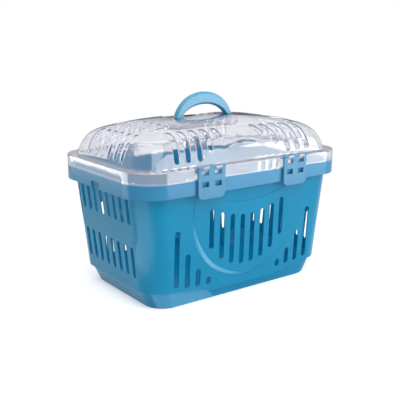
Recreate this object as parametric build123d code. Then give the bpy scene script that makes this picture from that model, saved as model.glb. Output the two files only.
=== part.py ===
from build123d import *
import math
import os

# Small-animal carrier: a slotted basket, a clear domed lid, a folding handle and four clips.
# Millimetres, +Z up. The origin is the centre of the basket's foot, on the surface it stands on.
# X runs along the length, and the side at -Y is the front.

os.makedirs("parts", exist_ok=True)

# Rim, shared by the basket's band and the lid's skirt
rim_length = 450.0
rim_width = 288.0
rim_radius = 55.0
band_bottom = 197.0
rim_top = 220.0
ledge_top = 240.0

# Basket walls and plinth
basket_wall = 2.5
wall_top_length = 428.0
wall_top_width = 269.0
wall_top_radius = 50.0
wall_foot_length = 386.0
wall_foot_width = 242.0
wall_foot_radius = 40.0
wall_foot_z = 18.0
plinth_top_length = 380.0
plinth_top_width = 235.0
plinth_foot_length = 354.0
plinth_foot_width = 223.5
plinth_radius = 38.0
plinth_top = 32.0

# Rounded lower edge of the plinth
plinth_edge = 4.0

# The wall's lower edge steps up towards the corners
step_low_x = 66.0
step_high_x = 148.0
step_round = 200.0

# Notch in the band at each end, for a thumb
notch_width = 26.0
notch_height = 11.0

# Round flat pad on the front and the back, over basket and lid
pad_radius = 125.0
pad_z = 161.0
pad_foot_proud = 4.0
pad_crown_proud = 1.0
pad_root_depth = 5.0
pad_crown_z = 170.0
pad_crown_radius = 235.0
lid_pad_radius = 106.0
lid_pad_z = 164.5
lid_pad_y = 122.0
lid_pad_depth = 30.0
lid_pad_slope = 0.37

# Upright slots in the front and the back of the basket
slot_width = 10.0
slot_pitch = 22.2
slot_arc_radius = 96.0
slot_arc_z = 151.5
slot_crown_z = 147.0
slot_crown_radius = 164.0
middle_slot_pairs = 4
side_slot_first_x = 79.0
side_slot_feet = [31.0, 32.5, 34.5, 38.5]
side_slot_tops = [45.5, 64.0, 94.5, 137.5]

# Upright slots in the two ends of the basket
end_slot_width = 9.5
end_slot_pitch = 22.2
end_slot_count = 8
end_low_foot = 54.5
end_low_top = 109.0
end_high_foot = 146.0
end_high_top = 206.0

# Shallow sunk panel round the upper slots of each end, with a bowed lower edge that slopes gently
end_panel_depth = 1.0
end_panel_slope = 6.0
end_panel_half = 95.0
end_panel_edge_z = 122.0
end_panel_rise = 9.0

# Lid shell: (height, length, width, corner radius) up the sides, then over the crown
lid_wall = 2.2
lid_fit = 0.3
dome_sections = [
    (ledge_top, 416.0, 256.0, 38.0),
    (255.0, 406.5, 246.5, 40.0),
    (272.0, 391.0, 231.0, 43.0),
    (286.5, 354.0, 196.0, 45.0),
    (293.0, 312.0, 156.0, 42.0),
]
crown_sections = [
    dome_sections[-1],
    (300.5, 220.0, 112.0, 36.0),
    (304.8, 100.0, 52.0, 20.0),
    (306.0, 40.0, 20.0, 9.0),
]

ledge_edge = 1.0

# Slots in the lid
lid_slot_width = 11.5
lid_slot_pitch = 23.0
lid_slot_first_x = 42.0
lid_slot_count = 5
lid_slot_foot_z = 246.0
lid_slot_foot_y = 125.5
lid_slot_head_y = 80.0
lid_slot_head_z = 291.5
lid_slot_splay = 10.0
lid_slot_over_pad = 7.7
lid_slot_cut = 30.0
lid_end_slot_count = 6
lid_end_slot_foot_x = 204.5
lid_end_slot_head_x = 171.5
lid_end_slot_head_z = 288.0
crown_slot_inner_x = 114.0
crown_slot_outer_x = 149.0

# Handle and the recess that it folds into
handle_axis_z = 291.0
handle_outer_half = 64.0
handle_inner_half = 53.5
handle_top_z = 347.0
handle_inner_top_z = 325.0
handle_depth = 13.0
handle_bevel = 3.5
handle_edge = 2.5
pin_radius = 3.0
pin_clearance = 0.05
pin_end_gap = 0.6
pin_boss_radius = 7.0
pin_boss_length = 3.0
recess_side_gap = 6.5
recess_front_gap = 3.0
recess_back_gap = 5.0
recess_floor_gap = 1.0
recess_front_radius = 7.0
recess_back_radius = 40.0

# Clips
clip_x = 92.0
clip_width = 54.0
clip_foot = 189.0
clip_thickness = 3.0
clip_standoff = 2.4
clip_corner = 9.0
clip_bar_radius = 2.3
clip_bar_z = 240.4
clip_edge = 0.8
window_width = 13.5
window_spacing = 26.0
upper_window_foot = 228.2
lower_window_foot = 209.0
lower_window_top = 218.0

# Lugs on the lid that hold a clip's bar, and catches on the basket's band
lug_side_gap = 0.5
lug_bar_gap = 0.3
lug_thickness = 2.0
lug_wrap = 25.0
lug_root_height = 5.0
catch_side_gap = 0.6
catch_end_gap = 1.0
catch_lip = 2.0
front_catch_gap = 0.3
rear_catch_reach = 1.2

# Three short ribs on the front of the skirt, beside the right-hand clip
rib_first_x = 28.0
rib_pitch = 14.0
rib_count = 3
rib_width = 6.0
rib_height = 12.0
rib_proud = 0.8

# How far a cutting shape runs past a face, and the length of one that runs through everything
overrun = 1.0
through = 1800.0

# Sizes that follow from those above
rim_half_width = rim_width / 2
clip_back_y = rim_half_width + clip_standoff
bar_y = clip_back_y + clip_thickness / 2
recess_half = handle_outer_half + recess_side_gap
boss_end = recess_half + lid_wall + pin_boss_length


def outline(length, width, radius, height):
    """A rounded rectangle at a height."""
    return Pos(0, 0, height) * RectangleRounded(length, width, radius)


def block(low_x, high_x, low_y, high_y, low_z, high_z):
    """A box between two corners."""
    size = Box(high_x - low_x, high_y - low_y, high_z - low_z)
    return Pos((low_x + high_x) / 2, (low_y + high_y) / 2, (low_z + high_z) / 2) * size


def prism(length, width, radius, low_z, high_z):
    """An upright prism on a rounded rectangle."""
    return extrude(outline(length, width, radius, low_z), high_z - low_z)


def between(low, high, low_z, high_z, height):
    """A size that changes evenly between two heights, read at a third height."""
    return low + (high - low) * (height - low_z) / (high_z - low_z)


def wall_width_at(height):
    """The outer width of the basket's wall at a height."""
    return between(wall_foot_width, wall_top_width, wall_foot_z, rim_top, height)


def both_sides(solid):
    """A solid and its mirror image across the XZ plane."""
    return [solid, mirror(solid, Plane.XZ)]


def lying_cone(inner_radius, outer_radius, inner_y, outer_y, height):
    """A cone about Y at a height: inner_radius at -inner_y, and outer_radius at -outer_y."""
    cone = Cone(inner_radius, outer_radius, outer_y - inner_y)
    return Pos(0, -(inner_y + outer_y) / 2, height) * Rot(90, 0, 0) * cone


# Basket

def basket_walls(inset):
    """The basket's tapered walls as a full solid, drawn in by a wall's thickness."""
    foot = outline(wall_foot_length - 2 * inset, wall_foot_width - 2 * inset,
                   wall_foot_radius - inset, wall_foot_z + inset)
    top = outline(wall_top_length - 2 * inset, wall_top_width - 2 * inset,
                  wall_top_radius - inset, rim_top)
    return loft([foot, top], ruled=True)


def basket_plinth(inset):
    """The plinth under the walls, with a rounded lower edge."""
    foot = outline(plinth_foot_length - 2 * inset, plinth_foot_width - 2 * inset,
                   plinth_radius - inset, inset)
    top = outline(plinth_top_length - 2 * inset, plinth_top_width - 2 * inset,
                  plinth_radius - inset, plinth_top + inset)
    plinth = loft([foot, top], ruled=True)
    return fillet(plinth.edges().group_by(Axis.Z)[0], plinth_edge - inset)


def corner_step(inset):
    """What is cut from the walls' foot, so that their edge rises towards both ends."""
    high = plinth_top + inset
    low = wall_foot_z + inset
    corners = [(step_low_x, 0), (step_low_x, low), (step_high_x, high), (rim_length, high), (rim_length, 0)]
    profile = make_face(Polyline(*corners, close=True))
    bend = profile.vertices().filter_by_position(Axis.X, step_high_x - overrun, step_high_x + overrun)
    profile = fillet(bend, step_round)
    right = extrude(Plane.XZ * profile, through / 2, both=True)
    return [right, mirror(right, Plane.YZ)]


def basket_pad(inset):
    """The flat round pad on the front wall, a little proud of it, cut off by a shallow arc on top."""
    foot_z = pad_z - pad_radius
    crown_y = wall_width_at(pad_crown_z) / 2 + pad_crown_proud - inset
    wall_y = wall_width_at(foot_z) / 2
    foot_y = wall_y + pad_foot_proud - inset
    root_y = wall_y - pad_root_depth
    tilt = (crown_y - foot_y) / (pad_crown_z - foot_z)
    face_low = foot_y - tilt * foot_z
    face_high = foot_y + tilt * (rim_top - foot_z)
    side = make_face(Polyline((-face_low, 0), (-face_high, rim_top), (-root_y, rim_top),
                              (-root_y, 0), close=True))
    slab = extrude(Plane.YZ * side, rim_length / 2, both=True)
    radius = pad_radius - inset
    depth = rim_half_width - wall_y
    disc = lying_cone(radius + pad_root_depth, radius - depth, root_y, wall_y + depth, pad_z)
    above = Pos(0, 0, pad_crown_z + inset + pad_crown_radius) * Rot(90, 0, 0) * Cylinder(
        pad_crown_radius + 2 * inset, through)
    return slab & disc - above


def end_panels():
    """What is shaved off both ends round their upper slots, with a slope along the lower edge."""
    edge = ThreePointArc((-end_panel_half, end_panel_edge_z), (0, end_panel_edge_z + end_panel_rise),
                         (end_panel_half, end_panel_edge_z))
    top = 2 * rim_top
    sides = Polyline((end_panel_half, end_panel_edge_z), (end_panel_half, top),
                     (-end_panel_half, top), (-end_panel_half, end_panel_edge_z))
    edge_length = between(wall_foot_length, wall_top_length, wall_foot_z, rim_top, end_panel_edge_z)
    profile = Plane.YZ.offset(edge_length / 2 - end_panel_depth) * make_face(edge + sides)
    outward = Vector(1, 0, -end_panel_slope)
    cutter = extrude(profile, (rim_length - edge_length) * outward.length, dir=outward)
    shaved = cutter - basket_walls(end_panel_depth)
    return [shaved, mirror(shaved, Plane.YZ)]


def basket_form(inset):
    """The basket's outer form, or its hollow where inset is the wall's thickness."""
    form = basket_walls(inset) - corner_step(inset)
    form = form + basket_plinth(inset)
    form = form + both_sides(basket_pad(inset))
    return form


def upright_slot(place, width, foot_z, top_z):
    """A slot with round ends that passes through both the front and the back."""
    profile = Pos(place, (foot_z + top_z) / 2) * SlotOverall(top_z - foot_z, width, rotation=90)
    return extrude(Plane.XZ * profile, through / 2, both=True)


def end_slot(place, width, foot_z, top_z):
    """A slot with round ends that passes through both ends."""
    profile = Pos(place, (foot_z + top_z) / 2) * SlotOverall(top_z - foot_z, width, rotation=90)
    return extrude(Plane.YZ * profile, through / 2, both=True)


def basket_slots():
    """The slots of the middle group, the two side groups and the two rows in the ends."""
    slots = []
    for step in range(middle_slot_pairs):
        x = slot_pitch * (step + 0.5)
        foot = slot_arc_z - math.sqrt(slot_arc_radius ** 2 - x ** 2)
        top = slot_crown_z + x ** 2 / (2 * slot_crown_radius)
        slots += [upright_slot(sign * x, slot_width, foot, top) for sign in (-1, 1)]
    for step, (foot, top) in enumerate(zip(side_slot_feet, side_slot_tops)):
        x = side_slot_first_x + slot_pitch * step
        slots += [upright_slot(sign * x, slot_width, foot, top) for sign in (-1, 1)]
    for step in range(end_slot_count):
        y = end_slot_pitch * (step - (end_slot_count - 1) / 2)
        slots.append(end_slot(y, end_slot_width, end_low_foot, end_low_top))
        slots.append(end_slot(y, end_slot_width, end_high_foot, end_high_top))
    return slots


def rim_band():
    """The band round the rim: a flat flange and the skirt that hangs from it, open underneath."""
    outer = prism(rim_length, rim_width, rim_radius, band_bottom, rim_top)
    under = prism(rim_length - 2 * basket_wall, rim_width - 2 * basket_wall,
                  rim_radius - basket_wall, band_bottom - overrun, rim_top - basket_wall)
    mouth = prism(wall_top_length - 2 * basket_wall, wall_top_width - 2 * basket_wall,
                  wall_top_radius - basket_wall, band_bottom, rim_top + overrun)
    notch = block(-rim_length, rim_length, -notch_width / 2, notch_width / 2,
                  band_bottom - overrun, band_bottom + notch_height)
    return outer - under - mouth - notch


def catch(x, nose_y):
    """A wedge on the front of the band at a clip's lower window, as far out as nose_y."""
    half = window_width / 2 - catch_side_gap
    foot = lower_window_foot + catch_end_gap
    top = lower_window_top - catch_end_gap
    root_y = rim_half_width - basket_wall / 2
    profile = make_face(Polyline((-root_y, foot), (-rim_half_width, foot), (-nose_y, top - catch_lip),
                                 (-nose_y, top), (-root_y, top), close=True))
    return Pos(x, 0, 0) * extrude(Plane.YZ * profile, half, both=True)


def window_centres():
    """The X places of all the clips' windows."""
    return [side * clip_x + half * window_spacing / 2 for side in (-1, 1) for half in (-1, 1)]


def make_basket():
    """The one-piece basket."""
    shell = basket_form(0) - end_panels() - basket_form(basket_wall)
    shell = shell - basket_slots()
    shell = shell + rim_band()
    for x in window_centres():
        shell = shell + catch(x, clip_back_y - front_catch_gap)
        shell = shell + mirror(catch(x, clip_back_y + rear_catch_reach), Plane.XZ)
    return shell


# Lid

def drawn_in(section, inset, drop):
    """One outline of the dome, made smaller all round and lowered."""
    height, length, width, radius = section
    return outline(length - 2 * inset, width - 2 * inset, radius - inset, height - drop)


def dome_form(inset):
    """The dome as a full solid, drawn in and lowered by the lid's thickness."""
    foot = drawn_in(dome_sections[0], inset, 0)
    sides = [drawn_in(section, inset, inset) for section in dome_sections[1:]]
    crown = [drawn_in(section, inset, inset) for section in crown_sections]
    return loft([foot] + sides) + loft(crown)


def lid_pad(inset):
    """The upper part of the round pad, which stands out of the dome under a crescent."""
    face_radius = lid_pad_radius - inset
    root_radius = face_radius + lid_pad_slope * lid_pad_depth
    disc = lying_cone(root_radius, face_radius, lid_pad_y - lid_pad_depth, lid_pad_y - inset, lid_pad_z)
    keep = block(-rim_length, rim_length, -rim_width, 0, ledge_top, rim_length)
    return disc & keep


def lid_recess(grow):
    """The recess in the crown that the handle folds into, or its wall's outside."""
    half = recess_half + grow
    front = -(handle_depth / 2 + recess_front_gap) - grow
    back = handle_top_z - handle_axis_z + recess_back_gap + grow
    floor = handle_axis_z - handle_depth / 2 - recess_floor_gap - grow
    plan = make_face(Polyline((-half, front), (half, front), (half, back), (-half, back), close=True))
    plan = fillet(plan.vertices().group_by(Axis.Y)[0], recess_front_radius + grow)
    plan = fillet(plan.vertices().group_by(Axis.Y)[-1], recess_back_radius + grow)
    return extrude(Pos(0, 0, floor) * plan, handle_top_z - floor)


def slope_slot(foot, head, across, width):
    """A slot up a slope, from a low point to a high point, where across lies level in the slope."""
    low = Vector(*foot)
    high = Vector(*head)
    along = (high - low).normalized()
    plane = Plane(origin=(low + high) / 2, x_dir=along, z_dir=along.cross(across))
    profile = plane * SlotOverall((high - low).length, width)
    return extrude(profile, lid_slot_cut, both=True)


def lid_slots():
    """The slots over the front and back shoulders, over both ends, and along the crown."""
    slots = []
    for step in range(lid_slot_count):
        x = lid_slot_first_x + lid_slot_pitch * step
        over_pad = lid_pad_z + lid_slot_over_pad + math.sqrt(max(lid_pad_radius ** 2 - x ** 2, 0))
        foot_z = max(lid_slot_foot_z, over_pad)
        foot_y = between(lid_slot_foot_y, lid_slot_head_y, lid_slot_foot_z, lid_slot_head_z, foot_z)
        foot_x = x + between(lid_slot_splay, 0, lid_slot_foot_z, lid_slot_head_z, foot_z)
        for sign in (-1, 1):
            slot = slope_slot((sign * foot_x, -foot_y, foot_z), (sign * x, -lid_slot_head_y, lid_slot_head_z),
                              Vector(sign, 0, 0), lid_slot_width)
            slots += both_sides(slot)
    for step in range(lid_end_slot_count):
        y = end_slot_pitch * (step - (lid_end_slot_count - 1) / 2)
        slot = slope_slot((-lid_end_slot_foot_x, y, lid_slot_foot_z),
                          (-lid_end_slot_head_x, y, lid_end_slot_head_z), Vector(0, 1, 0), lid_slot_width)
        crown_length = crown_slot_outer_x - crown_slot_inner_x
        crown_centre = -(crown_slot_outer_x + crown_slot_inner_x) / 2
        crown_slot = Pos(crown_centre, y, ledge_top) * extrude(SlotOverall(crown_length, lid_slot_width), through)
        for one in (slot, crown_slot):
            slots += [one, mirror(one, Plane.YZ)]
    return slots


def lid_skirt():
    """The skirt that stands on the basket's rim, and the ledge between it and the dome."""
    outer = prism(rim_length - 2 * lid_fit, rim_width - 2 * lid_fit, rim_radius - lid_fit, rim_top, ledge_top)
    outer = fillet(outer.edges().group_by(Axis.Z)[-1], ledge_edge)
    under = prism(rim_length - 2 * (lid_fit + lid_wall), rim_width - 2 * (lid_fit + lid_wall),
                  rim_radius - lid_fit - lid_wall, rim_top - overrun, ledge_top - lid_wall)
    mouth = extrude(drawn_in(dome_sections[0], lid_wall, ledge_top - rim_top), ledge_top - rim_top + overrun)
    return outer - under - mouth


def lug(x):
    """A hook on the skirt that passes through a clip's upper window and round its bar."""
    half = window_width / 2 - lug_side_gap
    inner = clip_bar_radius + lug_bar_gap
    outer = inner + lug_thickness
    ring = Circle(outer) - Circle(inner)
    reach = rim_width
    tip_y = -reach * math.cos(math.radians(lug_wrap))
    tip_z = reach * math.sin(math.radians(lug_wrap))
    keep = make_face(Polyline((0, 0), (tip_y, tip_z), (-reach, -reach), (reach, -reach), (reach, 0), close=True))
    hook = Pos(-bar_y, clip_bar_z) * (ring & keep)
    root_top = clip_bar_z - inner
    root_foot = root_top - lug_root_height
    root_inner = rim_half_width - lid_fit - lid_wall / 2
    root = make_face(Polyline((-root_inner, root_foot), (-bar_y, root_foot + lug_thickness),
                              (-bar_y, root_top), (-root_inner, root_top), close=True))
    side = make_face(Polyline((-root_inner, root_foot), (-bar_y + inner, root_foot),
                              (-bar_y + inner, clip_bar_z), (-root_inner, clip_bar_z), close=True))
    profile = hook + root + side
    return Pos(x, 0, 0) * extrude(Plane.YZ * profile, half, both=True)


def handle_boss():
    """The boss behind the recess's end wall, round the handle's pin."""
    start = recess_half + lid_wall / 2
    barrel = Cylinder(pin_boss_radius, boss_end - start)
    return Pos((start + boss_end) / 2, 0, handle_axis_z) * Rot(0, 90, 0) * barrel


def skirt_rib(x):
    """One short upright rib on the front of the skirt."""
    middle_z = (rim_top + ledge_top) / 2
    front_y = rim_half_width - lid_fit
    return block(x - rib_width / 2, x + rib_width / 2, -front_y - rib_proud, -front_y + lid_wall / 2,
                 middle_z - rib_height / 2, middle_z + rib_height / 2)


def make_lid():
    """The one-piece clear lid."""
    outer = dome_form(0) + both_sides(lid_pad(0)) - lid_recess(0)
    hollow = dome_form(lid_wall) + both_sides(lid_pad(lid_wall)) - lid_recess(lid_wall)
    shell = outer - hollow
    boss = handle_boss() & dome_form(lid_wall / 2)
    shell = shell + boss + mirror(boss, Plane.YZ)
    shell = shell + lid_skirt()
    shell = shell - lid_slots()
    pin_hole = Rot(0, 90, 0) * Cylinder(pin_radius + pin_clearance, 2 * (boss_end + overrun))
    shell = shell - Pos(0, 0, handle_axis_z) * pin_hole
    for x in window_centres():
        shell = shell + both_sides(lug(x))
    for step in range(rib_count):
        shell = shell + skirt_rib(rib_first_x + rib_pitch * step)
    return shell


# Handle

def half_ellipse(half_width, height):
    """The upper half of an ellipse, standing on the pin's axis."""
    full = Ellipse(half_width, height)
    keep = Pos(0, height) * Rectangle(4 * half_width, 2 * height)
    return full & keep


def make_handle():
    """The bow, its round feet and the two pins."""
    outer = half_ellipse(handle_outer_half, handle_top_z - handle_axis_z)
    inner = half_ellipse(handle_inner_half, handle_inner_top_z - handle_axis_z)
    bow = extrude(Plane.XZ * (outer - inner), handle_depth / 2, both=True)
    curves = bow.edges().filter_by(GeomType.ELLIPSE).group_by(lambda edge: edge.bounding_box().max.Z)
    bow = chamfer(curves[0], handle_bevel)
    curves = bow.edges().filter_by(GeomType.ELLIPSE).group_by(lambda edge: edge.bounding_box().max.Z)
    bow = fillet(curves[-1], handle_edge)
    foot_length = handle_outer_half - handle_inner_half
    foot = Pos((handle_outer_half + handle_inner_half) / 2, 0, 0) * Rot(0, 90, 0) * Cylinder(
        handle_depth / 2, foot_length)
    pin_end = boss_end - pin_end_gap
    pin_start = (handle_outer_half + handle_inner_half) / 2
    pin = Pos((pin_start + pin_end) / 2, 0, 0) * Rot(0, 90, 0) * Cylinder(pin_radius, pin_end - pin_start)
    side = foot + pin
    return Pos(0, 0, handle_axis_z) * (bow + side + mirror(side, Plane.YZ))


# Clips

def make_clip():
    """One clip at the middle of the front: a plate with four windows, under a bar."""
    height = clip_bar_z - clip_foot
    plate = Rectangle(clip_width, height)
    plate = fillet(plate.vertices().group_by(Axis.Y)[0], clip_corner)
    plate = Pos(0, clip_foot + height / 2) * plate
    for side in (-1, 1):
        x = side * window_spacing / 2
        upper = Rectangle(window_width, clip_bar_z - upper_window_foot)
        lower = Rectangle(window_width, lower_window_top - lower_window_foot)
        plate = plate - Pos(x, (clip_bar_z + upper_window_foot) / 2) * upper
        plate = plate - Pos(x, (lower_window_top + lower_window_foot) / 2) * lower
    body = extrude(Plane.XZ * plate, clip_thickness / 2, both=True)
    outer_edges = body.faces().sort_by(Axis.Y)[0].outer_wire().edges()
    below_bar = [edge for edge in outer_edges if edge.bounding_box().max.Z < clip_bar_z - clip_bar_radius]
    body = fillet(below_bar, clip_edge)
    bar = Pos(0, 0, clip_bar_z) * Rot(0, 90, 0) * Cylinder(clip_bar_radius, clip_width)
    return Pos(0, -bar_y, 0) * (body + bar)


basket = make_basket()
lid = make_lid()
handle = make_handle()
clip = make_clip()
front_clip_left = Pos(-clip_x, 0, 0) * clip
front_clip_right = Pos(clip_x, 0, 0) * clip
rear_clip_left = mirror(front_clip_left, Plane.XZ)
rear_clip_right = mirror(front_clip_right, Plane.XZ)

export_step(basket, "parts/basket.step")
export_step(lid, "parts/lid.step")
export_step(handle, "parts/handle.step")
export_step(front_clip_left, "parts/front_clip_left.step")
export_step(front_clip_right, "parts/front_clip_right.step")
export_step(rear_clip_left, "parts/rear_clip_left.step")
export_step(rear_clip_right, "parts/rear_clip_right.step")
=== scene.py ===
import math

import bmesh
import bpy
from mathutils import Matrix, Vector


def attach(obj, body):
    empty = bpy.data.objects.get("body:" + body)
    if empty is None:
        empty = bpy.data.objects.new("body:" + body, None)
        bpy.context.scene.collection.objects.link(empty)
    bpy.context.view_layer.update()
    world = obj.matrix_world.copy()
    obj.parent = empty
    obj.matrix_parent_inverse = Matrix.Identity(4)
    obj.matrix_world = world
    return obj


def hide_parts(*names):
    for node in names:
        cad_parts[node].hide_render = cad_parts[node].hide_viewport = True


bl_info = {
    "name": "Small-animal carrier",
    "version": (1, 0, 0),
    "blender": (4, 5, 0),
    "location": "3D View > Sidebar > Carrier",
    "description": "Dresses the carrier's basket, clear lid, handle and clips, and sets its stage",
    "category": "Object",
}

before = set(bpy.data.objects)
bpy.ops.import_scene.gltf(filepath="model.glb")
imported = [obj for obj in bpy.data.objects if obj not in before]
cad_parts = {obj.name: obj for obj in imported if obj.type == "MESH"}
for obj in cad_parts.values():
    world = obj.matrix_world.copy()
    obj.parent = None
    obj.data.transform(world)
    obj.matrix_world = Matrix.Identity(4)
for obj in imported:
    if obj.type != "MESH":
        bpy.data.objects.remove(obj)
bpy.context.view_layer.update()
MM = 0.001
CLIPS = ("front_clip_left", "front_clip_right", "rear_clip_left", "rear_clip_right")

# CAD triangles are joined where their points are this close and their faces this flat
WELD_DISTANCE = 0.002 * MM
FLAT_ANGLE = math.radians(0.1)

# Edges that are sharper than this are rounded, in this many steps
SHARP_ANGLE = math.radians(32)
EDGE_STEPS = 2

# The band round the basket's rim starts at this height and stands outside this rounded rectangle. Its
# rounded lower edge starts a little lower.
BAND_FOOT = 197.0 * MM
BAND_EDGE = 1.0 * MM
WALL_HALF_LENGTH = 215.0 * MM
WALL_HALF_WIDTH = 135.5 * MM
WALL_CORNER = 50.0 * MM

# The basket's round pads: the height of their middle, their radius, and the lean and the foot of the
# wall that they stand on
PAD_CENTRE = 161.0 * MM
PAD_RADIUS = 125.0 * MM
WALL_LEAN = 0.0668
WALL_FOOT_FACE = 119.0 * MM

# The painted highlight on the pads' edge is a pale crescent. It stands in for the light that the lower left
# of their bevel catches. The constants give the direction of its middle, the cosine of the angle at which it
# ends, its greatest width and how softly its inner side fades
PAINTED_HIGHLIGHT_SIDE = (-0.64, 0.0, -0.77)
PAINTED_HIGHLIGHT_END = 0.6
PAINTED_HIGHLIGHT_WIDTH = 6.0 * MM
PAINTED_HIGHLIGHT_BLUR = 1.0 * MM

# Moulded polypropylene: the size of its soft patches of colour, how far its roughness swings, and the
# range of a noise's values in which it does
FLOW_PATCH = 60.0 * MM
ROUGHNESS_SWING = 0.03
NOISE_LOW, NOISE_HIGH = 0.3, 0.7
POLYPROPYLENE_IOR = 1.49

# The lid's skirt and ledge, up to this height, are frosted, and the frost fades over these heights
FROST_TOP = 241.0 * MM
FROST_BELOW = 2.0 * MM
FROST_ABOVE = 4.0 * MM

# How clear and how rough the frosted part and the dome are
FROSTED_CLEARNESS, DOME_CLEARNESS = 0.86, 0.97
FROSTED_ROUGHNESS, DOME_ROUGHNESS = 0.06, 0.03

# How far a wall is turned edge on, from 0 to 1, where its tint and its dark outline start and are full
EDGE_TINT_START, EDGE_TINT_FULL = 0.6, 0.95
OUTLINE_START, OUTLINE_FULL = 0.8, 0.92
OUTLINE_STRENGTH = 0.85

# Real polystyrene bends light more, but would mirror the white room more than the photograph shows
LID_IOR = 1.45
CUT_EDGE_IOR = 1.55

# The size of the soft waves in the lid's surface, and of the drag marks in its slots and on their edges
LID_RIPPLE = 25.0 * MM
SLOT_DRAG = 3.0 * MM
EDGE_DRAG = 4.0 * MM

# The lid's slots lie over its ledge, inside its skirt and outside the box of the handle's recess. Their
# inner walls are narrower than this, and meet the dome at more than this angle.
SLOTS_ABOVE = 241.5 * MM
SLOTS_WITHIN_Y = 136.0 * MM
SLOT_WALL_REACH = 7.0 * MM
SLOT_EDGE_ANGLE = math.radians(50)
RECESS_HALF = 88.0 * MM
RECESS_FRONT = -20.0 * MM
RECESS_BACK = 72.0 * MM

# The slots' beads, the ledge's ribs and the handle's bow
BEAD_SIDES = 6
RIB_COUNT = 6
RIB_TURN = math.radians(-35)
BOW_STEPS_ALONG = 96
BOW_STEPS_AROUND = 56
BOW_SEAM = 0.01 * MM
BOW_SHARP_ANGLE = math.radians(50)
BARREL_SIDES = 48

# The photograph's camera, in metres from the middle of the carrier's foot
EYE = Vector((-0.72083, -0.97470, 0.43604))
LOOK = Vector((0.57448, 0.78443, -0.23374))
LENS_MM = 59.526
SENSOR_MM = 36.0
ROLL_DEGREES = 0.01

# The room's light on the object, the floor's own glow where it is seen, and the distances from the middle
# between which the floor gives way to the white backdrop
ROOM_LIGHT = 0.45
FLOOR_GLOW = 0.45
SHADOW_END = 0.35
BACKDROP_START = 0.75
WHITE = (1, 1, 1, 1)

# The places of a colour mix node's two colours among its inputs, and of its colour among its outputs
MIX_A, MIX_B, MIX_RESULT = 6, 7, 2


def linear(hex_colour):
    """A hex sRGB colour as linear RGBA."""
    channels = [int(hex_colour[place:place + 2], 16) / 255 for place in (1, 3, 5)]
    return [c / 12.92 if c <= 0.04045 else ((c + 0.055) / 1.055) ** 2.4 for c in channels] + [1.0]


# Sizes and colours that a user would change

def colour(name, description, hex_colour):
    """A colour property with a hex default."""
    return bpy.props.FloatVectorProperty(name=name, description=description, subtype="COLOR", size=4,
                                         min=0.0, max=1.0, default=linear(hex_colour))


def length(name, description, millimetres):
    """A length property, written in millimetres and kept in metres."""
    return bpy.props.FloatProperty(name=name, description=description, default=millimetres * MM,
                                   unit="LENGTH", subtype="DISTANCE", precision=5)


class CarrierColours(bpy.types.PropertyGroup):
    """The colours of the mouldings and of the stage."""
    wall: colour("Wall", "Polypropylene of the basket's glossy walls", "#088CB7")
    wall_deep: colour("Wall, deeper", "Where the wall's colour runs a little deeper", "#0784AE")
    # A painted highlight: pale colour painted on the lower left of the round pads' edge, standing in for the
    # light that their bevel catches
    painted_highlight: colour("Painted pad highlight", "Pale highlight painted on the pads' lower left edge", "#5FB4DA")
    band: colour("Band", "Polypropylene of the band round the rim", "#3B8BB7")
    band_deep: colour("Band, deeper", "Where the band's colour runs a little deeper", "#3583AD")
    handle: colour("Handle", "Polypropylene of the handle", "#4E9EC2")
    handle_deep: colour("Handle, deeper", "Where the handle's colour runs a little deeper", "#4796B8")
    clip: colour("Clips", "Polypropylene of the clips", "#4D8FB7")
    clip_deep: colour("Clips, deeper", "Where the clips' colour runs a little deeper", "#4787AE")
    lid: colour("Lid", "Tint of the clear polystyrene", "#F3F3F7")
    lid_edge_on: colour("Lid, edge on", "The clear polystyrene where it is seen along the wall", "#5A5C70")
    # Also the ribs' colour on the ledge, where the white is a painted highlight
    slot_wall_and_rib_gleam: colour("Slot walls", "The milky inner walls of the lid's slots", "#F2F4FA")
    # The beads' grey is painted light: it stands in for the line that light bending at the slots' cut edges
    # draws
    slot_edge: colour("Slot edges", "The thin bead round each slot", "#A9AEC2")
    floor: colour("Floor", "The plain floor", "#F4F4F4")


class CarrierSizes(bpy.types.PropertyGroup):
    """The sizes of the details that the dressing adds."""
    moulded_edge: length("Moulded edge", "Radius on the edges of the basket", 0.6)
    lid_edge: length("Lid edge", "Radius on the edges of the lid", 0.4)
    clip_edge: length("Clip edge", "Radius on the edges of the clips", 0.4)
    bead: length("Slot bead", "Radius of the bead round each slot of the lid", 0.22)
    rib_first: length("Ledge ribs, first", "Place of the first rib along the lid's ledge", -199.0)
    rib_spacing: length("Ledge ribs, spacing", "From one rib of the lid's ledge to the next", 14.5)
    rib_place: length("Ledge ribs, place", "From the lid's middle line to its ledge's ribs", 140.0)
    rib_height: length("Ledge ribs, height", "Height of the ribs' middle over the floor", 240.4)
    rib_length: length("Ledge ribs, length", "Length of each rib", 6.0)
    rib_thickness: length("Ledge ribs, thickness", "Thickness of each rib", 1.2)
    bow_outer: length("Bow, outside", "Half the width of the handle's bow, outside", 64.0)
    bow_inner: length("Bow, inside", "Half the width of the handle's bow, inside", 53.5)
    bow_rise: length("Bow, rise", "Height of the bow's outside over its pins", 56.0)
    bow_room: length("Bow, room", "Height of the bow's inside over its pins", 34.0)
    bow_depth: length("Bow, depth", "Depth of the bow from front to back", 13.0)
    bow_round: length("Bow, rounding", "Radius on the bow's four long edges", 2.8)
    pin_height: length("Pins, height", "Height of the handle's pins over the floor", 291.0)
    pin_radius: length("Pins, radius", "Radius of the handle's pins", 3.0)
    pin_reach: length("Pins, reach", "Half the distance between the pins' ends", 75.1)
    floor_half: length("Floor", "Half the side of the floor", 6000.0)


# Nodes and meshes

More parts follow.
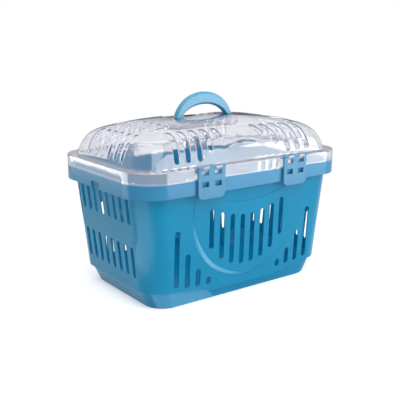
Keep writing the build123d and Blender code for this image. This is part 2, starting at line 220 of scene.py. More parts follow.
def add_node(tree, kind, settings=None, inputs=None):
    """Adds one node with its settings, and with its inputs' values or the sockets that feed them."""
    node = tree.nodes.new(kind)
    for name, value in (settings or {}).items():
        setattr(node, name, value)
    for name, value in (inputs or {}).items():
        if isinstance(value, bpy.types.NodeSocket):
            tree.links.new(value, node.inputs[name])
        else:
            node.inputs[name].default_value = value
    return node


def new_material(name):
    """An empty node material, its tree and its output node."""
    material = bpy.data.materials.new(name)
    material.use_nodes = True
    material.node_tree.nodes.clear()
    output = add_node(material.node_tree, "ShaderNodeOutputMaterial")
    return material, material.node_tree, output


def new_piece(name, mesh):
    """A new object in the scene."""
    piece = bpy.data.objects.new(name, mesh)
    bpy.context.scene.collection.objects.link(piece)
    return piece


def merged_copy(node, name):
    """A new object with a CAD node's surface, its loose triangles joined into whole flat faces."""
    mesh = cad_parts[node].data.copy()
    mesh.name = name
    mesh.materials.clear()
    shell = bmesh.new()
    shell.from_mesh(mesh)
    bmesh.ops.remove_doubles(shell, verts=shell.verts, dist=WELD_DISTANCE)
    bmesh.ops.dissolve_limit(shell, angle_limit=FLAT_ANGLE, verts=shell.verts, edges=shell.edges,
                             delimit={"NORMAL"})
    shell.to_mesh(mesh)
    shell.free()
    return new_piece(name, mesh)


def baked(piece):
    """The piece with its modifiers turned into a plain mesh."""
    bpy.context.view_layer.update()
    graph = bpy.context.evaluated_depsgraph_get()
    mesh = bpy.data.meshes.new_from_object(piece.evaluated_get(graph), preserve_all_data_layers=True,
                                           depsgraph=graph)
    piece.modifiers.clear()
    piece.data = mesh
    return piece


def round_edges(piece, radius):
    """Rounds the sharp edges of a moulding, and keeps its flat faces evenly shaded."""
    bevel = piece.modifiers.new("moulded_edges", "BEVEL")
    bevel.width = radius
    bevel.segments = EDGE_STEPS
    bevel.limit_method = "ANGLE"
    bevel.angle_limit = SHARP_ANGLE
    bevel.use_clamp_overlap = True
    even = piece.modifiers.new("even_shading", "WEIGHTED_NORMAL")
    even.mode = "FACE_AREA_WITH_ANGLE"
    for face in piece.data.polygons:
        face.use_smooth = True
    return baked(piece)


def geometry_tree(name, sizes):
    """An empty Geometry Nodes tree with named sizes as inputs, its input node and its output node."""
    tree = bpy.data.node_groups.new(name, "GeometryNodeTree")
    tree.interface.new_socket(name="Geometry", in_out="INPUT", socket_type="NodeSocketGeometry")
    for size in sizes:
        kind = "NodeSocketInt" if size == "Ribs" else "NodeSocketFloat"
        tree.interface.new_socket(name=size, in_out="INPUT", socket_type=kind)
    tree.interface.new_socket(name="Geometry", in_out="OUTPUT", socket_type="NodeSocketGeometry")
    return tree, add_node(tree, "NodeGroupInput"), add_node(tree, "NodeGroupOutput")


def end_tree(tree, output, geometry, material):
    """Closes a tree with real geometry and its material."""
    real = add_node(tree, "GeometryNodeRealizeInstances", inputs={"Geometry": geometry})
    dressed = add_node(tree, "GeometryNodeSetMaterial", inputs={
        "Geometry": real.outputs["Geometry"], "Material": material})
    tree.links.new(dressed.outputs["Geometry"], output.inputs["Geometry"])


def run_tree(piece, tree, sizes):
    """Runs a tree on a piece with these sizes, and leaves a plain mesh."""
    modifier = piece.modifiers.new(tree.name, "NODES")
    modifier.node_group = tree
    for socket in tree.interface.items_tree:
        if socket.name in sizes:
            modifier[socket.identifier] = sizes[socket.name]
    return baked(piece)


# Materials

def painted_pad_highlight(tree, place):
    """How strongly a pale highlight is painted along the lower left edge of the basket's round pads, from 0
    to 1.
    It is painted light: the pale crescent stands in for the light that the pad's bevel catches.

    The pad's edge is a cone on a leaning wall, so its outline is a little narrower towards the top.
    """
    spot = add_node(tree, "ShaderNodeSeparateXYZ", inputs={"Vector": place})
    flat = add_node(tree, "ShaderNodeCombineXYZ", inputs={"X": spot.outputs["X"], "Z": spot.outputs["Z"]})
    away = add_node(tree, "ShaderNodeVectorMath", {"operation": "SUBTRACT"}, {
        0: flat.outputs["Vector"], 1: (0, 0, PAD_CENTRE)})
    unit = add_node(tree, "ShaderNodeVectorMath", {"operation": "NORMALIZE"}, {0: away.outputs["Vector"]})
    facing = add_node(tree, "ShaderNodeVectorMath", {"operation": "DOT_PRODUCT"}, {
        0: unit.outputs["Vector"], 1: PAINTED_HIGHLIGHT_SIDE})
    side = add_node(tree, "ShaderNodeMapRange", {"interpolation_type": "SMOOTHSTEP"}, {
        "Value": facing.outputs["Value"], "From Min": PAINTED_HIGHLIGHT_END, "From Max": 1.0})
    distance = add_node(tree, "ShaderNodeVectorMath", {"operation": "LENGTH"}, {0: away.outputs["Vector"]})
    radius = add_node(tree, "ShaderNodeMath", {"operation": "MULTIPLY_ADD"}, {
        0: spot.outputs["Z"], 1: WALL_LEAN, 2: distance.outputs["Value"]})
    edge = PAD_RADIUS + WALL_LEAN * (PAD_CENTRE - PAD_RADIUS)
    start = add_node(tree, "ShaderNodeMath", {"operation": "MULTIPLY_ADD"}, {
        0: side.outputs["Result"], 1: PAINTED_HIGHLIGHT_WIDTH, 2: radius.outputs[0]})
    near = add_node(tree, "ShaderNodeMapRange", {"interpolation_type": "SMOOTHSTEP"}, {
        "Value": start.outputs[0], "From Min": edge - PAINTED_HIGHLIGHT_BLUR, "From Max": edge + PAINTED_HIGHLIGHT_BLUR})
    within = add_node(tree, "ShaderNodeMath", {"operation": "LESS_THAN"}, {0: radius.outputs[0], 1: edge})
    depth = add_node(tree, "ShaderNodeMath", {"operation": "ABSOLUTE"}, {0: spot.outputs["Y"]})
    wall = add_node(tree, "ShaderNodeMath", {"operation": "MULTIPLY_ADD"}, {
        0: spot.outputs["Z"], 1: WALL_LEAN, 2: WALL_FOOT_FACE})
    face = add_node(tree, "ShaderNodeMath", {"operation": "GREATER_THAN"}, {
        0: depth.outputs[0], 1: wall.outputs[0]})
    painted_highlight = side.outputs["Result"]
    for mask in (near.outputs["Result"], within.outputs[0], face.outputs[0]):
        painted_highlight = add_node(tree, "ShaderNodeMath", {"operation": "MULTIPLY"}, {0: painted_highlight, 1: mask}).outputs[0]
    return painted_highlight


def moulded_plastic(name, base, deeper, roughness, specular, grain_mm, grain_height_mm, painted_highlight=None):
    """Injection-moulded polypropylene: a coloured, slightly cloudy plastic with a soft gloss.

    The melt's flow leaves soft patches of deeper colour some 60 mm across. The tool's finish gives a
    fine unevenness, which blurs highlights a little and breaks their edges.
    """
    material, tree, output = new_material(name)
    place = add_node(tree, "ShaderNodeTexCoord").outputs["Object"]
    flow = add_node(tree, "ShaderNodeTexNoise", inputs={
        "Vector": place, "Scale": 1 / FLOW_PATCH, "Detail": 2.0})
    tint = add_node(tree, "ShaderNodeMix", {"data_type": "RGBA"}, {
        "Factor": flow.outputs["Fac"], MIX_A: base, MIX_B: deeper})
    # Paints a pale highlight on the pads' lower left edge into the base colour
    if painted_highlight is not None:
        tint = add_node(tree, "ShaderNodeMix", {"data_type": "RGBA"}, {
            "Factor": painted_pad_highlight(tree, place), MIX_A: tint.outputs[MIX_RESULT], MIX_B: painted_highlight})
    fine = add_node(tree, "ShaderNodeTexNoise", inputs={
        "Vector": place, "Scale": 1 / (grain_mm * MM), "Detail": 3.0})
    dull = add_node(tree, "ShaderNodeMapRange", inputs={
        "Value": fine.outputs["Fac"], "From Min": NOISE_LOW, "From Max": NOISE_HIGH,
        "To Min": roughness - ROUGHNESS_SWING, "To Max": roughness + ROUGHNESS_SWING})
    bump = add_node(tree, "ShaderNodeBump", inputs={
        "Height": fine.outputs["Fac"], "Strength": 0.4, "Distance": grain_height_mm * MM})
    shader = add_node(tree, "ShaderNodeBsdfPrincipled", inputs={
        "Base Color": tint.outputs[MIX_RESULT], "Roughness": dull.outputs["Result"],
        "Normal": bump.outputs["Normal"], "IOR": POLYPROPYLENE_IOR, "Specular IOR Level": specular})
    tree.links.new(shader.outputs["BSDF"], output.inputs["Surface"])
    return material


def clear_plastic(name, tint, edge_on):
    """Injection-moulded clear polystyrene: bright and glassy, with a faint milky haze in the wall.

    The skirt and the ledge come from a frosted part of the tool, so they are hazier than the dome. Where
    the wall is seen edge on, the light's way through the plastic is long: it shows darker, and draws a
    thin dark line along the dome's outline.
    """
    material, tree, output = new_material(name)
    place = add_node(tree, "ShaderNodeTexCoord").outputs["Object"]
    ripple = add_node(tree, "ShaderNodeTexNoise", inputs={
        "Vector": place, "Scale": 1 / LID_RIPPLE, "Detail": 1.0})
    bump = add_node(tree, "ShaderNodeBump", inputs={
        "Height": ripple.outputs["Fac"], "Strength": 0.25, "Distance": 0.3 * MM})
    height = add_node(tree, "ShaderNodeSeparateXYZ", inputs={"Vector": place}).outputs["Z"]
    frost = {"Value": height, "From Min": FROST_TOP - FROST_BELOW, "From Max": FROST_TOP + FROST_ABOVE}
    clear = add_node(tree, "ShaderNodeMapRange", {"interpolation_type": "SMOOTHSTEP"}, {
        **frost, "To Min": FROSTED_CLEARNESS, "To Max": DOME_CLEARNESS})
    dull = add_node(tree, "ShaderNodeMapRange", {"interpolation_type": "SMOOTHSTEP"}, {
        **frost, "To Min": FROSTED_ROUGHNESS, "To Max": DOME_ROUGHNESS})
    facing = add_node(tree, "ShaderNodeLayerWeight", inputs={"Blend": 0.5})
    along = add_node(tree, "ShaderNodeMapRange", {"interpolation_type": "SMOOTHSTEP"}, {
        "Value": facing.outputs["Facing"], "From Min": EDGE_TINT_START, "From Max": EDGE_TINT_FULL})
    shade = add_node(tree, "ShaderNodeMix", {"data_type": "RGBA"}, {
        "Factor": along.outputs["Result"], MIX_A: tint, MIX_B: edge_on})
    shader = add_node(tree, "ShaderNodeBsdfPrincipled", inputs={
        "Base Color": shade.outputs[MIX_RESULT], "Roughness": dull.outputs["Result"],
        "Normal": bump.outputs["Normal"], "Transmission Weight": clear.outputs["Result"], "IOR": LID_IOR})
    passing = add_node(tree, "ShaderNodeBsdfTransparent", inputs={"Color": tint})
    rim = add_node(tree, "ShaderNodeMapRange", {"interpolation_type": "SMOOTHSTEP"}, {
        "Value": facing.outputs["Facing"], "From Min": OUTLINE_START, "From Max": OUTLINE_FULL,
        "To Max": OUTLINE_STRENGTH})
    dark = add_node(tree, "ShaderNodeBsdfTransparent", inputs={"Color": edge_on})
    rimmed = add_node(tree, "ShaderNodeMixShader", inputs={
        0: rim.outputs["Result"], 1: shader.outputs["BSDF"], 2: dark.outputs["BSDF"]})
    path = add_node(tree, "ShaderNodeLightPath")
    unseen = add_node(tree, "ShaderNodeMath", {"operation": "MAXIMUM"}, {
        0: path.outputs["Is Shadow Ray"], 1: path.outputs["Is Diffuse Ray"]})
    mix = add_node(tree, "ShaderNodeMixShader", inputs={
        0: unseen.outputs[0], 1: rimmed.outputs[0], 2: passing.outputs["BSDF"]})
    tree.links.new(mix.outputs[0], output.inputs["Surface"])
    return material


def milky_wall_and_gleam_plastic(name, base):
    """Milky white, half clear and dull: the walls of the lid's slots, and the ledge's ribs, where the white
    is a painted highlight standing in for gleams of light on the ledge.
    """
    material, tree, output = new_material(name)
    place = add_node(tree, "ShaderNodeTexCoord").outputs["Object"]
    drag = add_node(tree, "ShaderNodeTexNoise", inputs={
        "Vector": place, "Scale": 1 / SLOT_DRAG, "Detail": 2.0})
    dull = add_node(tree, "ShaderNodeMapRange", inputs={
        "Value": drag.outputs["Fac"], "To Min": 0.2, "To Max": 0.4})
    shader = add_node(tree, "ShaderNodeBsdfPrincipled", inputs={
        "Base Color": base, "Roughness": dull.outputs["Result"], "IOR": LID_IOR,
        "Transmission Weight": 0.45})
    tree.links.new(shader.outputs["BSDF"], output.inputs["Surface"])
    return material


def painted_slot_edge_line(name, base):
    """Painted light for the lid's slots: a grey bead stands in for the thin grey line that light bending at
    the cut edges of the clear polystyrene draws there.
    """
    material, tree, output = new_material(name)
    place = add_node(tree, "ShaderNodeTexCoord").outputs["Object"]
    drag = add_node(tree, "ShaderNodeTexNoise", inputs={"Vector": place, "Scale": 1 / EDGE_DRAG})
    dull = add_node(tree, "ShaderNodeMapRange", inputs={
        "Value": drag.outputs["Fac"], "To Min": 0.12, "To Max": 0.28})
    shader = add_node(tree, "ShaderNodeBsdfPrincipled", inputs={
        "Base Color": base, "Roughness": dull.outputs["Result"], "IOR": CUT_EDGE_IOR})
    tree.links.new(shader.outputs["BSDF"], output.inputs["Surface"])
    return material


def seen_rays(tree):
    """1 for rays from the camera, from a mirror-like surface or through a clear one, otherwise 0."""
    path = add_node(tree, "ShaderNodeLightPath")
    seen = path.outputs["Is Camera Ray"]
    for kind in ("Is Glossy Ray", "Is Transmission Ray"):
        seen = add_node(tree, "ShaderNodeMath", {"operation": "MAXIMUM"}, {
            0: seen, 1: path.outputs[kind]}).outputs[0]
    return seen


def floor_material(name, base):
    """Matt white-painted board. It is plain white to the eye and keeps the object's soft shadow.

    Past the carrier's shadow it gives way to the plain white of the backdrop.
    """
    material, tree, output = new_material(name)
    diffuse = add_node(tree, "ShaderNodeBsdfDiffuse", inputs={"Color": base})
    glow = add_node(tree, "ShaderNodeEmission", inputs={"Color": WHITE, "Strength": FLOOR_GLOW})
    lit = add_node(tree, "ShaderNodeAddShader", inputs={0: diffuse.outputs[0], 1: glow.outputs[0]})
    white = add_node(tree, "ShaderNodeEmission", inputs={"Color": WHITE, "Strength": 1.0})
    place = add_node(tree, "ShaderNodeTexCoord").outputs["Object"]
    away = add_node(tree, "ShaderNodeVectorMath", {"operation": "LENGTH"}, {"Vector": place})
    far = add_node(tree, "ShaderNodeMapRange", {"interpolation_type": "SMOOTHSTEP"}, {
        "Value": away.outputs["Value"], "From Min": SHADOW_END, "From Max": BACKDROP_START})
    board = add_node(tree, "ShaderNodeMixShader", inputs={
        0: far.outputs["Result"], 1: lit.outputs[0], 2: white.outputs[0]})
    mix = add_node(tree, "ShaderNodeMixShader", inputs={
        0: seen_rays(tree), 1: diffuse.outputs[0], 2: board.outputs[0]})
    tree.links.new(mix.outputs[0], output.inputs["Surface"])
    return material


# Basket

def outside_wall(point):
    """Whether a point lies outside the rounded rectangle of the basket's walls."""
    over_x = abs(point.x) - (WALL_HALF_LENGTH - WALL_CORNER)
    over_y = abs(point.y) - (WALL_HALF_WIDTH - WALL_CORNER)
    corner = math.hypot(max(over_x, 0.0), max(over_y, 0.0))
    return corner + min(max(over_x, over_y), 0.0) > WALL_CORNER


class CARRIER_OT_basket(bpy.types.Operator):
    """Dress the basket: rounded edges, glossy walls and a paler band"""
    bl_idname = "carrier.basket"
    bl_label = "Basket"

    def execute(self, context):
        sizes, colours = context.scene.carrier_sizes, context.scene.carrier_colours
        piece = merged_copy("basket", "basket_moulding")
        piece = round_edges(piece, sizes.moulded_edge)
        # The wall's colour carries a painted highlight along the lower left edge of the round pads
        piece.data.materials.append(moulded_plastic(
            "moulded_polypropylene_wall", colours.wall, colours.wall_deep, roughness=0.24, specular=0.18,
            grain_mm=3.0, grain_height_mm=0.04, painted_highlight=colours.painted_highlight))
        piece.data.materials.append(moulded_plastic(
            "moulded_polypropylene_band", colours.band, colours.band_deep, roughness=0.24, specular=0.15,
            grain_mm=2.5, grain_height_mm=0.04))
        for face in piece.data.polygons:
            in_band = face.center.z > BAND_FOOT - BAND_EDGE and outside_wall(face.center)
            face.material_index = 1 if in_band else 0
        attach(piece, "basket")
        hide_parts("basket")
        return {"FINISHED"}


# Lid

def mark_slots(piece):
    """Marks the sharp edges of the lid's slots, and gives the slots' inner walls the second material."""
    shell = bmesh.new()
    shell.from_mesh(piece.data)
    mark = shell.edges.layers.bool.new("slot_edge")
    for edge in shell.edges:
        middle = (edge.verts[0].co + edge.verts[1].co) / 2
        in_recess = abs(middle.x) < RECESS_HALF and RECESS_FRONT < middle.y < RECESS_BACK
        on_dome = middle.z > SLOTS_ABOVE and abs(middle.y) < SLOTS_WITHIN_Y and not in_recess
        sharp = len(edge.link_faces) == 2 and edge.calc_face_angle() > SLOT_EDGE_ANGLE
        edge[mark] = on_dome and sharp
    for face in shell.faces:
        across = [edge.calc_length() for edge in face.edges if not edge[mark]]
        if len(across) == 2 and max(across) < SLOT_WALL_REACH:
            face.material_index = 1
    shell.to_mesh(piece.data)
    shell.free()


def bead_tree(material):
    """A thin bead along the marked edges of a mesh."""
    tree, source, output = geometry_tree("slot_beads", ["Bead radius"])
    marked = add_node(tree, "GeometryNodeInputNamedAttribute", {"data_type": "BOOLEAN"}, {
        "Name": "slot_edge"})
    path = add_node(tree, "GeometryNodeMeshToCurve", inputs={
        "Mesh": source.outputs["Geometry"], "Selection": marked.outputs["Attribute"]})
    ring = add_node(tree, "GeometryNodeCurvePrimitiveCircle", inputs={
        "Resolution": BEAD_SIDES, "Radius": source.outputs["Bead radius"]})
    tube = add_node(tree, "GeometryNodeCurveToMesh", inputs={
        "Curve": path.outputs["Curve"], "Profile Curve": ring.outputs["Curve"]})
    smooth = add_node(tree, "GeometryNodeSetShadeSmooth", inputs={"Geometry": tube.outputs["Mesh"]})
    end_tree(tree, output, smooth.outputs["Geometry"], material)
    return tree


def rib_tree(material):
    """A row of short slanting ribs on the lid's ledge."""
    names = ["First rib", "Spacing", "Ribs", "Distance from the middle", "Height", "Length", "Thickness"]
    tree, source, output = geometry_tree("ledge_ribs", names)
    size = source.outputs
    start = add_node(tree, "ShaderNodeCombineXYZ", inputs={
        "X": size["First rib"], "Y": size["Distance from the middle"], "Z": size["Height"]})
    step = add_node(tree, "ShaderNodeCombineXYZ", inputs={"X": size["Spacing"]})
    row = add_node(tree, "GeometryNodeMeshLine", {"mode": "OFFSET"}, {
        "Count": size["Ribs"], "Start Location": start.outputs["Vector"],
        "Offset": step.outputs["Vector"]})
    shape = add_node(tree, "ShaderNodeCombineXYZ", inputs={
        "X": size["Length"], "Y": size["Thickness"], "Z": size["Thickness"]})
    rib = add_node(tree, "GeometryNodeMeshCube", inputs={"Size": shape.outputs["Vector"]})
    turned = add_node(tree, "ShaderNodeCombineXYZ", inputs={"Z": RIB_TURN})
    placed = add_node(tree, "GeometryNodeInstanceOnPoints", inputs={
        "Points": row.outputs["Mesh"], "Instance": rib.outputs["Mesh"],
        "Rotation": turned.outputs["Vector"]})
    end_tree(tree, output, placed.outputs["Instances"], material)
    return tree


class CARRIER_OT_lid(bpy.types.Operator):
    """Dress the clear lid, with a bead round each of its slots"""
    bl_idname = "carrier.lid"
    bl_label = "Lid"

    def execute(self, context):
        sizes, colours = context.scene.carrier_sizes, context.scene.carrier_colours
        # The beads are painted grey lines along the slots' cut edges, standing in for the light that bends
        # there
        beads = merged_copy("lid", "lid_slot_beads")
        mark_slots(beads)
        painted_edge_line = painted_slot_edge_line("painted_cut_edge_line", colours.slot_edge)
        beads = run_tree(beads, bead_tree(painted_edge_line), {"Bead radius": sizes.bead})
        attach(beads, "lid")

        # The ribs take this milky white as a painted highlight, standing in for gleams of light along the
        # ledge
        milky_and_rib_gleam = milky_wall_and_gleam_plastic("milky_slot_wall_and_painted_rib_gleam", colours.slot_wall_and_rib_gleam)
        row = rib_tree(milky_and_rib_gleam)
        for side, place in (("front", -sizes.rib_place), ("rear", sizes.rib_place)):
            ribs = new_piece("lid_ledge_ribs_" + side, bpy.data.meshes.new("lid_ledge_ribs_" + side))
            ribs = run_tree(ribs, row, {
                "First rib": sizes.rib_first, "Spacing": sizes.rib_spacing, "Ribs": RIB_COUNT,
                "Distance from the middle": place, "Height": sizes.rib_height,
                "Length": sizes.rib_length, "Thickness": sizes.rib_thickness})
            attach(ribs, "lid")

        piece = merged_copy("lid", "lid_moulding")
        piece.data.materials.append(clear_plastic(
            "moulded_clear_polystyrene", colours.lid, colours.lid_edge_on))
        piece.data.materials.append(milky_and_rib_gleam)
        mark_slots(piece)
        piece = round_edges(piece, sizes.lid_edge)
        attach(piece, "lid")
        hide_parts("lid")
        return {"FINISHED"}


# Handle

def bow_tree(material):
    """The handle's bow: a rounded section carried from one foot to the other between two half ellipses."""
    names = ["Outer half width", "Inner half width", "Outer height", "Inner height", "Depth", "Rounding",
             "Pin height"]
    tree, source, output = geometry_tree("handle_bow", names)
    size = source.outputs
    sheet = add_node(tree, "GeometryNodeMeshGrid", inputs={
        "Size X": 1.0, "Size Y": 1.0, "Vertices X": BOW_STEPS_ALONG + 1,
        "Vertices Y": BOW_STEPS_AROUND + 1})
    place = add_node(tree, "GeometryNodeInputPosition")
    across = add_node(tree, "ShaderNodeSeparateXYZ", inputs={"Vector": place.outputs["Position"]})
    angle = add_node(tree, "ShaderNodeMath", {"operation": "MULTIPLY_ADD"}, {
        0: across.outputs["X"], 1: math.pi, 2: math.pi / 2})
    share = add_node(tree, "ShaderNodeMath", {"operation": "ADD"}, {0: across.outputs["Y"], 1: 0.5})
    high = add_node(tree, "ShaderNodeMath", {"operation": "SUBTRACT"}, {
        0: size["Outer height"], 1: size["Inner height"]})
    wide = add_node(tree, "ShaderNodeMath", {"operation": "SUBTRACT"}, {
        0: size["Outer half width"], 1: size["Inner half width"]})
    oblong = add_node(tree, "GeometryNodeCurvePrimitiveQuadrilateral", inputs={
        "Width": high.outputs[0], "Height": size["Depth"]})
    section = add_node(tree, "GeometryNodeFilletCurve", inputs={
        "Curve": oblong.outputs["Curve"], "Radius": size["Rounding"]})
    around = add_node(tree, "GeometryNodeSampleCurve", {"mode": "FACTOR"}, {
        "Curves": section.outputs["Curve"], "Factor": share.outputs[0]})
    on_section = add_node(tree, "ShaderNodeSeparateXYZ", inputs={"Vector": around.outputs["Position"]})
    from_middle = add_node(tree, "ShaderNodeMath", {"operation": "DIVIDE"}, {
        0: on_section.outputs["X"], 1: high.outputs[0]})
    outward = add_node(tree, "ShaderNodeMath", {"operation": "ADD"}, {0: from_middle.outputs[0], 1: 0.5})
    half_width = add_node(tree, "ShaderNodeMath", {"operation": "MULTIPLY_ADD"}, {
        0: outward.outputs[0], 1: wide.outputs[0], 2: size["Inner half width"]})
    height = add_node(tree, "ShaderNodeMath", {"operation": "MULTIPLY_ADD"}, {
        0: outward.outputs[0], 1: high.outputs[0], 2: size["Inner height"]})
    cosine = add_node(tree, "ShaderNodeMath", {"operation": "COSINE"}, {0: angle.outputs[0]})
    sine = add_node(tree, "ShaderNodeMath", {"operation": "SINE"}, {0: angle.outputs[0]})
    new_x = add_node(tree, "ShaderNodeMath", {"operation": "MULTIPLY"}, {
        0: half_width.outputs[0], 1: cosine.outputs[0]})
    new_z = add_node(tree, "ShaderNodeMath", {"operation": "MULTIPLY_ADD"}, {
        0: height.outputs[0], 1: sine.outputs[0], 2: size["Pin height"]})
    moved = add_node(tree, "ShaderNodeCombineXYZ", inputs={
        "X": new_x.outputs[0], "Y": on_section.outputs["Y"], "Z": new_z.outputs[0]})
    bow = add_node(tree, "GeometryNodeSetPosition", inputs={
        "Geometry": sheet.outputs["Mesh"], "Position": moved.outputs["Vector"]})
    closed = add_node(tree, "GeometryNodeMergeByDistance", inputs={
        "Geometry": bow.outputs["Geometry"], "Distance": BOW_SEAM})
    smooth = add_node(tree, "GeometryNodeSetShadeSmooth", inputs={"Geometry": closed.outputs["Geometry"]})
    end_tree(tree, output, smooth.outputs["Geometry"], material)
    return tree


def lying_barrel(shell, start, end, radius, height):
    """A barrel along X at a height."""
    turn = Matrix.Translation(((start + end) / 2, 0, height)) @ Matrix.Rotation(math.pi / 2, 4, "Y")
    bmesh.ops.create_cone(shell, cap_ends=True, segments=BARREL_SIDES, radius1=radius, radius2=radius,
                          depth=abs(end - start), matrix=turn)


def add_feet(piece, sizes):
    """Closes the bow's two ends, and adds the round feet and the pins."""
    shell = bmesh.new()
    shell.from_mesh(piece.data)
    open_edges = [edge for edge in shell.edges if edge.is_boundary]
    bmesh.ops.holes_fill(shell, edges=open_edges)
    middle = (sizes.bow_outer + sizes.bow_inner) / 2
    for side in (-1, 1):
        lying_barrel(shell, side * sizes.bow_inner, side * sizes.bow_outer, sizes.bow_depth / 2,
                     sizes.pin_height)
        lying_barrel(shell, side * middle, side * sizes.pin_reach, sizes.pin_radius, sizes.pin_height)
    bmesh.ops.recalc_face_normals(shell, faces=shell.faces)
    shell.to_mesh(piece.data)
    shell.free()
    piece.data.set_sharp_from_angle(angle=BOW_SHARP_ANGLE)


class CARRIER_OT_handle(bpy.types.Operator):
    """Build and dress the folding handle: a bow by rule, with feet and pins"""
    bl_idname = "carrier.handle"
    bl_label = "Handle"

    def execute(self, context):
        sizes, colours = context.scene.carrier_sizes, context.scene.carrier_colours
        plastic = moulded_plastic(
            "moulded_polypropylene_handle", colours.handle, colours.handle_deep, roughness=0.3,
            specular=0.3, grain_mm=2.5, grain_height_mm=0.05)
        piece = new_piece("handle_moulding", bpy.data.meshes.new("handle_moulding"))
        piece = run_tree(piece, bow_tree(plastic), {
            "Outer half width": sizes.bow_outer, "Inner half width": sizes.bow_inner,
            "Outer height": sizes.bow_rise, "Inner height": sizes.bow_room, "Depth": sizes.bow_depth,
            "Rounding": sizes.bow_round, "Pin height": sizes.pin_height})
        add_feet(piece, sizes)
        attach(piece, "handle")
        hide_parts("handle")
        return {"FINISHED"}


# Clips

class CARRIER_OT_clips(bpy.types.Operator):
    """Dress the four clips"""
    bl_idname = "carrier.clips"
    bl_label = "Clips"

    def execute(self, context):
        sizes, colours = context.scene.carrier_sizes, context.scene.carrier_colours
        plastic = moulded_plastic(
            "moulded_polypropylene_clip", colours.clip, colours.clip_deep, roughness=0.3,
            specular=0.15, grain_mm=2.5, grain_height_mm=0.05)
        for node in CLIPS:
            piece = merged_copy(node, node + "_moulding")
            piece = round_edges(piece, sizes.clip_edge)
            piece.data.materials.append(plastic)
            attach(piece, node)
            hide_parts(node)
        return {"FINISHED"}


# Stage

def area_light(name, place, aim, size, power):
    """A soft light, as wide and as high as its size says, that faces a point."""
    data = bpy.data.lights.new(name, "AREA")
    data.shape = "RECTANGLE"
    data.size, data.size_y = size
    data.energy = power
    lamp = new_piece(name, data)
    lamp.location = place
    lamp.rotation_euler = (Vector(aim) - Vector(place)).to_track_quat("-Z", "Y").to_euler()
    return lamp


def reflector(name, place, aim, size, radiance):
    """A white card that only shows as a reflection in glossy plastic. The white room's radiance is 1.

    A flat lamp's power is pi times its area and its radiance.
    """
    card = area_light(name, place, aim, size, radiance * math.pi * size[0] * size[1])
    card.visible_camera = False
    card.visible_diffuse = False
    card.visible_transmission = False
    return card


def add_floor(half, base):
    """The floor that the carrier stands on."""
    mesh = bpy.data.meshes.new("floor")
    corners = [(-half, -half, 0), (half, -half, 0), (half, half, 0), (-half, half, 0)]
    mesh.from_pydata(corners, [], [(0, 1, 2, 3)])
    mesh.materials.append(floor_material("painted_board", base))
    new_piece("floor", mesh)


def add_world():
    """A white room: plain white where it is seen, and an even soft light on the object."""
    world = bpy.data.worlds.new("studio")
    bpy.context.scene.world = world
    world.use_nodes = True
    tree = world.node_tree
    tree.nodes.clear()
    strength = add_node(tree, "ShaderNodeMapRange", inputs={
        "Value": seen_rays(tree), "To Min": ROOM_LIGHT, "To Max": 1.0})
    background = add_node(tree, "ShaderNodeBackground", inputs={
        "Color": WHITE, "Strength": strength.outputs["Result"]})
    output = add_node(tree, "ShaderNodeOutputWorld")
    tree.links.new(background.outputs[0], output.inputs["Surface"])


def add_camera():
    """The photograph's camera."""
    data = bpy.data.cameras.new("camera")
    data.lens = LENS_MM
    data.sensor_width = SENSOR_MM
    camera = new_piece("camera", data)
    turn = LOOK.to_track_quat("-Z", "Y").to_matrix().to_4x4()
    roll = Matrix.Rotation(math.radians(ROLL_DEGREES), 4, "Z")
    camera.matrix_world = Matrix.Translation(EYE) @ turn @ roll
    bpy.context.scene.camera = camera


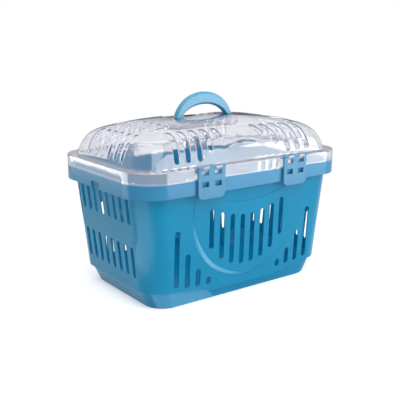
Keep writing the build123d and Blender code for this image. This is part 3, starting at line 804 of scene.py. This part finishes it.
class CARRIER_OT_stage(bpy.types.Operator):
    """Set the floor, the soft lights and the camera"""
    bl_idname = "carrier.stage"
    bl_label = "Stage"

    def execute(self, context):
        add_floor(context.scene.carrier_sizes.floor_half, context.scene.carrier_colours.floor)
        add_world()
        softbox = area_light("front_softbox", place=(1.1, -1.55, 0.62), aim=(0, 0, 0.2),
                             size=(1.2, 1.2), power=12.5)
        softbox.visible_glossy = False
        area_light("high_softbox", place=(-0.3, -1.2, 1.8), aim=(0, 0, 0.15), size=(1.2, 1.2), power=16)
        area_light("top_softbox", place=(-0.3, 0.2, 1.9), aim=(0, 0, 0.15), size=(1.6, 1.6), power=12)
        reflector("low_front_card", place=(0.7, -0.75, 0.155), aim=(0.7, 0, 0.155),
                  size=(1.2, 0.29), radiance=7.5)
        reflector("high_front_card", place=(0.45, -0.75, 0.51), aim=(0.45, 0, 0.51),
                  size=(1.7, 0.42), radiance=8)
        reflector("left_card", place=(-0.55, 0.5, 0.145), aim=(0, 0.5, 0.145), size=(0.9, 0.09), radiance=7)
        reflector("corner_card", place=(-0.47, -0.14, 0.004), aim=(-0.47, -0.14, 1),
                  size=(0.32, 0.38), radiance=4)
        reflector("foot_card", place=(-0.135, -0.125, 0.002), aim=(-0.135, -0.125, 1),
                  size=(0.15, 0.05), radiance=4)
        add_camera()
        context.scene.view_settings.view_transform = "Standard"
        return {"FINISHED"}


OPERATORS = (CARRIER_OT_basket, CARRIER_OT_lid, CARRIER_OT_handle, CARRIER_OT_clips, CARRIER_OT_stage)


class CARRIER_PT_sidebar(bpy.types.Panel):
    """The steps that dress the carrier, with their sizes and colours"""
    bl_idname = "CARRIER_PT_sidebar"
    bl_label = "Carrier"
    bl_space_type = "VIEW_3D"
    bl_region_type = "UI"
    bl_category = "Carrier"

    def draw(self, context):
        for group in (context.scene.carrier_sizes, context.scene.carrier_colours):
            for name in group.__annotations__:
                self.layout.prop(group, name)
        for operator in OPERATORS:
            self.layout.operator(operator.bl_idname)


CLASSES = (CarrierColours, CarrierSizes) + OPERATORS + (CARRIER_PT_sidebar,)


def register():
    """Adds the classes and the scene's properties."""
    for cls in CLASSES:
        bpy.utils.register_class(cls)
    bpy.types.Scene.carrier_sizes = bpy.props.PointerProperty(type=CarrierSizes)
    bpy.types.Scene.carrier_colours = bpy.props.PointerProperty(type=CarrierColours)


def unregister():
    """Takes the classes and the scene's properties away."""
    del bpy.types.Scene.carrier_colours
    del bpy.types.Scene.carrier_sizes
    for cls in reversed(CLASSES):
        bpy.utils.unregister_class(cls)


def main():
    """Dresses the carrier."""
    register()
    for step in OPERATORS:
        group, name = step.bl_idname.split(".")
        getattr(getattr(bpy.ops, group), name)()
    bpy.context.view_layer.update()


if __name__ == "__main__":
    main()
